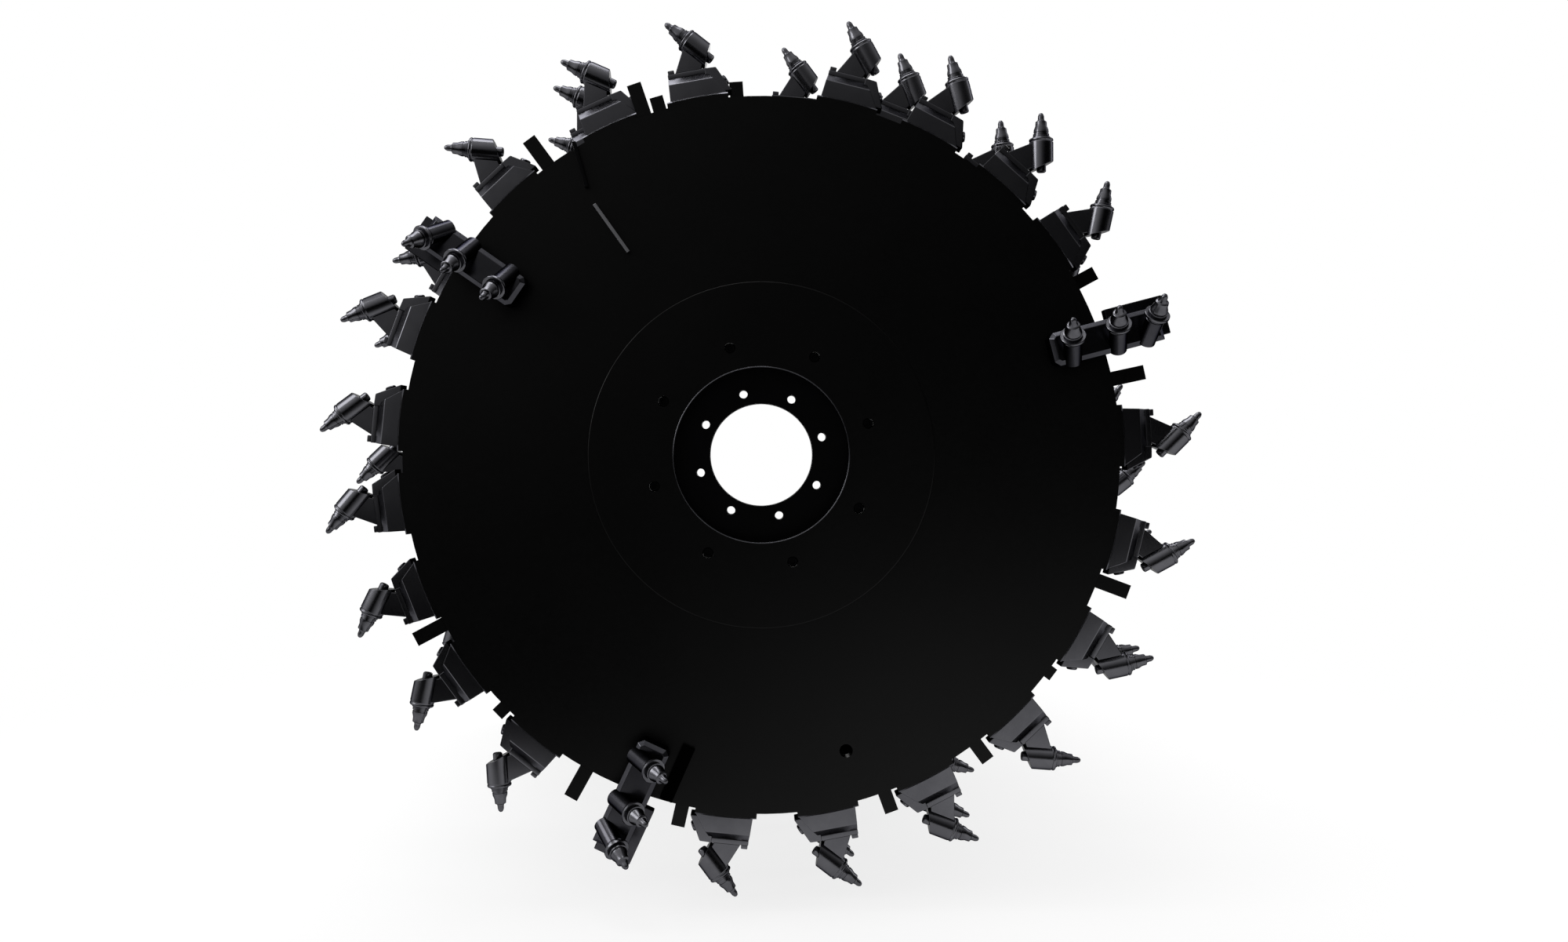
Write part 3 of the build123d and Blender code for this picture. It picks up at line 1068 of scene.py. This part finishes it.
@dataclass
class Hub:
    """Screws, the painted highlight round the hub opening and the weld rings of the drum's ends."""

    clamp_circle: float = 184.5 * MM
    clamp_count: int = 8
    clamp_phase: float = 16.4
    head_radius: float = 8.4 * MM
    head_depth: float = 7.0 * MM
    opening_radius: float = 146.0 * MM
    highlight_width: float = 0.9 * MM
    hub_bead: float = 1.6 * MM
    plate_bead: float = 3.5 * MM

    def build(self) -> None:
        """Set the clamp screws, the grey ring that paints a highlight on the opening's edge, and the weld rings."""
        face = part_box("bearing_hub_ring")[0].y
        self.screws(face)
        # A thin grey ring round the opening: a painted highlight on its edge
        edge = self.ring(self.opening_radius, face, self.highlight_width)
        paint(edge, HIGHLIGHT_EDGE_STEEL)
        hand_over(edge)
        self.welds()

    def screws(self, face: float) -> None:
        """Sink one socket screw in every clamp hole of the hub ring.

        Args:
            face: Where the hub ring's outer face is along Y.
        """
        outline = [
            (self.head_radius, -14.0 * MM),
            (self.head_radius, -1.0 * MM),
            (self.head_radius - 1.0 * MM, 0.0),
            (self.head_radius * 0.55, 0.0),
            (self.head_radius * 0.5, -5.0 * MM),
        ]
        model = smooth(turned("clamp_screw_model", outline, sides=24))
        places = []
        for index in range(self.clamp_count):
            angle = radians(self.clamp_phase + index * 360 / self.clamp_count)
            across, up = self.clamp_circle * cos(angle), self.clamp_circle * sin(angle)
            spot = Vector((across, face + self.head_depth, up))
            places.append(facing(spot, Vector((0, -1, 0))))
        screws = copies("bearing_clamp_screws", model, places)
        discard(model)
        paint(screws, BLACK_OXIDE)
        hand_over(screws)

    def ring(self, radius: float, y: float, half_width: float) -> Piece:
        """Lay one round bead about the drum's axis.

        Args:
            radius: Radius of the bead's middle line.
            y: Place along the axis.
            half_width: Half of the bead's width.

        Returns:
            The ring.
        """
        deselect()
        bpy.ops.mesh.primitive_torus_add(
            location=(0, y, 0), rotation=(pi / 2, 0, 0), major_radius=radius,
            minor_radius=half_width, major_segments=160, minor_segments=8,
        )
        bpy.ops.object.shade_smooth()
        return settle(f"ring_{radius / MM:.0f}_{y / MM:.0f}")

    def welds(self) -> None:
        """Lay the ring welds where plates meet the hub rings and the shell."""
        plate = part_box("bearing_end_plate")
        far_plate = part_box("drive_end_plate")
        shell_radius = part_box("drum_shell")[1].x
        # Columns: radius, place along the axis, half width
        rings = [
            (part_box("bearing_hub_ring")[1].x, plate[0].y, self.hub_bead),
            (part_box("drive_ring")[1].x, far_plate[1].y, self.plate_bead),
            (shell_radius, plate[1].y, self.plate_bead),
            (shell_radius, far_plate[0].y, self.plate_bead),
        ]
        welds = join("ring_welds", [self.ring(*row) for row in rings])
        paint(welds, PLATE_PAINT)
        hand_over(welds)


@dataclass(frozen=True)
class Strip:
    """One strip on the end plate: its middle, its turn from +X towards +Z, its size and its finish."""

    x: float
    z: float
    turn: float
    length: float
    width: float
    finish: Finish


@dataclass
class StripsWithPaintedLight:
    """The strips on the bearing end plate: a light grey one whose brightness is a painted highlight, one up to the
    rim, and a wide dead matt one beside a side bar that is a painted shadow of the bar.
    """

    thickness: float = 10.0 * MM
    edge: float = 0.8 * MM
    strips: tuple[Strip, ...] = (
        # The thin strip's light grey is a painted highlight
        Strip(-247.8 * MM, 374.6 * MM, 125.5, 97.0 * MM, 6.0 * MM, HIGHLIGHT_STRIP_STEEL),
        Strip(-299.2 * MM, 479.9 * MM, 106.0, 77.8 * MM, 6.5 * MM, BLACK_OXIDE),
        # The wide dead matt strip is darker than the plate: a painted shadow of the side bar beside it
        Strip(-138.7 * MM, -526.4 * MM, 246.2, 95.6 * MM, 21.3 * MM, SHADE_PRIMER),
    )

    def build(self) -> None:
        """Shape each strip, stand it on the end plate and join them."""
        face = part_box("bearing_end_plate")[0].y
        made = []
        for strip in self.strips:
            half, side, turn = strip.length / 2, strip.width / 2, radians(strip.turn)
            piece = soften(block("strip", (-half, -side, 0), (half, side, self.thickness)), self.edge)
            along = Vector((cos(turn), 0, sin(turn)))
            across = Vector((-sin(turn), 0, cos(turn)))
            piece.data.transform(frame_of(Vector((strip.x, face, strip.z)), along, across, Vector((0, -1, 0))))
            paint(piece, strip.finish)
            made.append(piece)
        hand_over(even_out(join("bearing_wear_strips", made)), replaced=["bearing_face_strips"])


@dataclass
class Studio:
    """Pale floor, soft lights, white surroundings and the camera."""

    distance: float = 2.3
    focal_px: float = 1770.0
    picture: tuple[int, int] = (2000, 1201)
    axis_px: tuple[float, float] = (971.0, 580.0)
    floor_gap: float = 0.004
    floor_size: float = 60.0
    shadow_middle: float = 0.98
    shadow_near: float = 1.0
    shadow_far: float = 2.4
    shadow_share: float = 0.8
    soft_strength: float = 0.5
    dim_way: tuple[float, float, float] = (0.65, -0.62, -0.5)
    room_white: float = -0.35
    room_dim: float = 0.78
    dim_from: float = -1.4
    dim_to: float = -0.2
    light_pool_left: tuple[float, float] = (-0.7, 0.5)
    light_pool_front: tuple[float, float] = (-5.6, -1.4)

    def build(self) -> None:
        """Set up everything round the drum."""
        self.floor()
        self.surroundings()
        self.lights()
        self.camera()

    def floor(self) -> None:
        """Lay a pale floor under the lowest tips, which keeps a soft shadow and fades to white round it.

        In mirrors it glows: as dim in front of the drum as the room there, but for a pool of painted light in front
        to the right.
        """
        deselect()
        bpy.ops.mesh.primitive_plane_add(size=self.floor_size, location=(0, 0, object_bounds()[0].z - self.floor_gap))
        floor = settle("studio_floor")
        made = bpy.data.materials.new("pale_floor")
        made.use_nodes = True
        tree = made.node_tree
        tree.nodes.clear()
        path = add_node(tree, "ShaderNodeLightPath")
        place = add_node(tree, "ShaderNodeTexCoord")
        away = add_node(
            tree, "ShaderNodeVectorMath", settings={"operation": "DISTANCE"},
            links={0: place.outputs["Object"]}, values={1: (0, self.shadow_middle, 0)},
        )
        fade = add_node(
            tree, "ShaderNodeMapRange", settings={"interpolation_type": "SMOOTHSTEP"},
            links={"Value": away.outputs["Value"]},
            values={"From Min": self.shadow_near, "From Max": self.shadow_far, "To Min": self.shadow_share},
        )
        matt = add_node(tree, "ShaderNodeBsdfDiffuse", values={"Color": linear("#f4f4f4")})
        spot = add_node(tree, "ShaderNodeSeparateXYZ", links={0: place.outputs["Object"]})
        # Columns: axis, where it is dim, where it is white
        fades = [
            ("Y", self.dim_from, self.dim_to),
            ("X", *self.light_pool_left),
            ("Y", *self.light_pool_front),
        ]
        under, right, front = [
            add_node(
                tree, "ShaderNodeMapRange", settings={"interpolation_type": "SMOOTHSTEP"},
                links={"Value": spot.outputs[axis]}, values={"From Min": dim, "From Max": white},
            ).outputs["Result"]
            for axis, dim, white in fades
        ]
        # The floor's glow in mirrors is brightest in this pool: painted light
        light_pool = add_node(tree, "ShaderNodeMath", settings={"operation": "MULTIPLY"}, links={0: right, 1: front})
        mirrored = add_node(
            tree, "ShaderNodeMath", settings={"operation": "MAXIMUM"}, links={0: under, 1: light_pool.outputs[0]}
        )
        strength = add_node(
            tree, "ShaderNodeMath", settings={"operation": "MAXIMUM"},
            links={0: path.outputs["Is Camera Ray"], 1: mirrored.outputs[0]},
        )
        glow = add_node(
            tree, "ShaderNodeEmission", links={"Strength": strength.outputs[0]}, values={"Color": WHITE}
        )
        seen = add_node(
            tree, "ShaderNodeMath", settings={"operation": "MAXIMUM"},
            links={0: path.outputs["Is Camera Ray"], 1: path.outputs["Is Glossy Ray"]},
        )
        share = add_node(
            tree, "ShaderNodeMath", settings={"operation": "MULTIPLY"},
            links={0: seen.outputs[0], 1: fade.outputs["Result"]},
        )
        mixed = add_node(
            tree, "ShaderNodeMixShader",
            links={0: share.outputs[0], 1: matt.outputs[0], 2: glow.outputs[0]},
        )
        add_node(tree, "ShaderNodeOutputMaterial", links={"Surface": mixed.outputs[0]})
        floor.data.materials.append(made)
        floor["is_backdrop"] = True

    def surroundings(self) -> None:
        """Make the world white where it is seen and a plain soft light elsewhere.

        What mirrors in the drum is the same white at its sides and behind it, and a dim room in front of it,
        dimmest towards the right.
        """
        world = bpy.data.worlds.new("studio_white")
        world.use_nodes = True
        bpy.context.scene.world = world
        tree = world.node_tree
        tree.nodes.clear()
        path = add_node(tree, "ShaderNodeLightPath")
        mirrors = add_node(
            tree, "ShaderNodeMath", settings={"operation": "MAXIMUM"},
            links={0: path.outputs["Is Glossy Ray"], 1: path.outputs["Is Transmission Ray"]},
        )
        way = add_node(tree, "ShaderNodeTexCoord")
        front = add_node(
            tree, "ShaderNodeVectorMath", settings={"operation": "DOT_PRODUCT"},
            links={0: way.outputs["Generated"]}, values={1: self.dim_way},
        )
        room = add_node(
            tree, "ShaderNodeMapRange", settings={"interpolation_type": "SMOOTHSTEP"},
            links={"Value": front.outputs["Value"]},
            values={"From Min": self.room_white, "From Max": self.room_dim, "To Min": 1.0, "To Max": 0.0},
        )
        soft = add_node(tree, "ShaderNodeBackground", values={"Color": WHITE, "Strength": self.soft_strength})
        mirrored = add_node(
            tree, "ShaderNodeBackground", links={"Strength": room.outputs["Result"]}, values={"Color": WHITE}
        )
        white = add_node(tree, "ShaderNodeBackground", values={"Color": WHITE, "Strength": 1.0})
        unseen = add_node(
            tree, "ShaderNodeMixShader",
            links={0: mirrors.outputs[0], 1: soft.outputs[0], 2: mirrored.outputs[0]},
        )
        mixed = add_node(
            tree, "ShaderNodeMixShader",
            links={0: path.outputs["Is Camera Ray"], 1: unseen.outputs[0], 2: white.outputs[0]},
        )
        add_node(tree, "ShaderNodeOutputWorld", links={"Surface": mixed.outputs[0]})

    def lights(self) -> None:
        """Hang soft boxes above, at both sides and behind."""
        # Columns: name, place, size, watts
        boxes = [
            ("top_box", (-0.8, 0.8, 3.7), 2.6, 130.0),
            ("left_box", (-3.8, -1.0, 2.0), 2.4, 90.0),
            ("right_box", (3.8, 1.6, 1.6), 2.2, 30.0),
            ("back_box", (1.5, 4.8, 3.0), 2.4, 110.0),
        ]
        target = Vector((0, 0.6, 0))
        for name, place, size, watts in boxes:
            lamp = bpy.data.lights.new(name, "AREA")
            lamp.size = size
            lamp.energy = watts
            holder = bpy.data.objects.new(name, lamp)
            holder.location = place
            holder.rotation_euler = (target - Vector(place)).to_track_quat("-Z", "Y").to_euler()
            bpy.context.collection.objects.link(holder)

    def camera(self) -> None:
        """Stand the camera on the drum's axis, facing the bearing end."""
        width, height = self.picture
        lens = bpy.data.cameras.new("end_view")
        lens.sensor_width = 36.0
        lens.lens = lens.sensor_width * self.focal_px / width
        lens.shift_x = (width / 2 - self.axis_px[0]) / width
        lens.shift_y = (self.axis_px[1] - height / 2) / width
        lens.clip_end = 200.0
        holder = bpy.data.objects.new("end_view", lens)
        holder.location = (0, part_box("bearing_end_plate")[0].y - self.distance, 0)
        holder.rotation_euler = (pi / 2, 0, 0)
        bpy.context.collection.objects.link(holder)
        bpy.context.scene.camera = holder


# Finishes of the solids that show as they are
NODE_FINISHES = {
    PLATE_PAINT: [
        "drum_shell", "bearing_end_plate", "drive_end_plate",
        "bearing_hub_ring", "bearing_rim_tabs", "drive_rim_tabs",
    ],
    TURNED_STEEL: ["bearing_flange", "drive_ring"],
}
# The shell's faces nearer to the axis than this are its inside
SHELL_INSIDE = 580.0 * MM
# The side bars' picks stand on a wide washer and have a thicker body
SIDE_PICK = Pick(
    washer_radius=20.6 * MM, washer_height=4.8 * MM, collar_radius=15.4 * MM, body_radius=14.2 * MM,
    shoulder_radius=10.6 * MM, neck_radius=7.4 * MM, tip_radius=5.8 * MM,
)
TOOL_GROUPS = ["bearing_ring_tool", "bearing_row_tool", "middle_tool", "drive_row_tool", "drive_ring_tool"]


def main() -> None:
    """Build every piece, dress the solids and set up the studio."""
    logging.basicConfig(level=logging.INFO, format="%(name)s: %(message)s")
    bpy.context.scene.view_settings.view_transform = "Standard"
    for finish, nodes in NODE_FINISHES.items():
        for node in nodes:
            paint(frame["nodes"][node], finish)
    # The shell's inside mirrors nothing: painted shade
    paint_within(frame["nodes"]["drum_shell"], SHELL_INSIDE, SHADE_PRIMER)
    tool = Tool()
    models = {
        "base": tool.base_model(),
        "bead": tool.bead_model(),
        "holder": tool.holder_model(),
        "pick": tool.pick.model(),
        "side_pick": SIDE_PICK.model(),
    }
    for group in TOOL_GROUPS:
        ToolRow(group, tool).build(models)
    for end in End:
        for number in (1, 2, 3):
            SideBar(end, number).build(models["side_pick"])
    discard(*models.values())
    Hub().build()
    StripsWithPaintedLight().build()
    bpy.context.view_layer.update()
    Studio().build()


if __name__ == "__main__":
    main()
